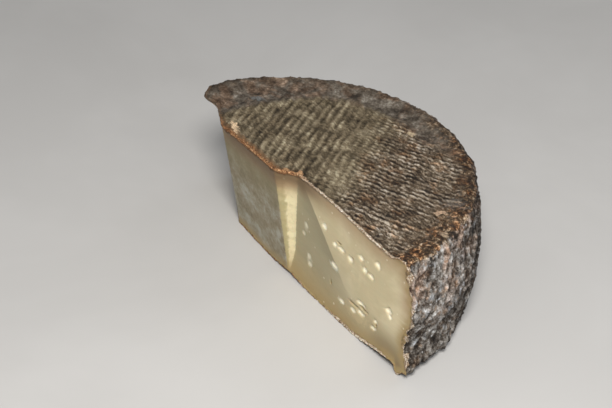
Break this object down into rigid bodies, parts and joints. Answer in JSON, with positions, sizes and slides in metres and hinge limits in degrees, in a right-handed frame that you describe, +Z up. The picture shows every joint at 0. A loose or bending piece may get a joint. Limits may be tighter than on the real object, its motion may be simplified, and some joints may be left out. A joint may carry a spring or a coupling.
{
  "type": "half goat cheese wheel",
  "caption": "Half of a round aged goat cheese lying on its base, with a ribbed grey rind, a raised rim and a smooth ivory cut face.",
  "frame": {"origin": "middle of the bounding box, on the level of the base that it rests on", "axes": "+Z up along the wheel's axis, +X along the cut towards its upright near end, -Y out of the cut face"},
  "size_m": [0.2008, 0.1056, 0.0698],
  "materials": {
    "rind": "dry mottled grey-brown mould rind, rough",
    "paste": "smooth ivory cheese paste, satin"
  },
  "bodies": {
    "root": {"half_wheel": "rind"}
  },
  "joints": []
}
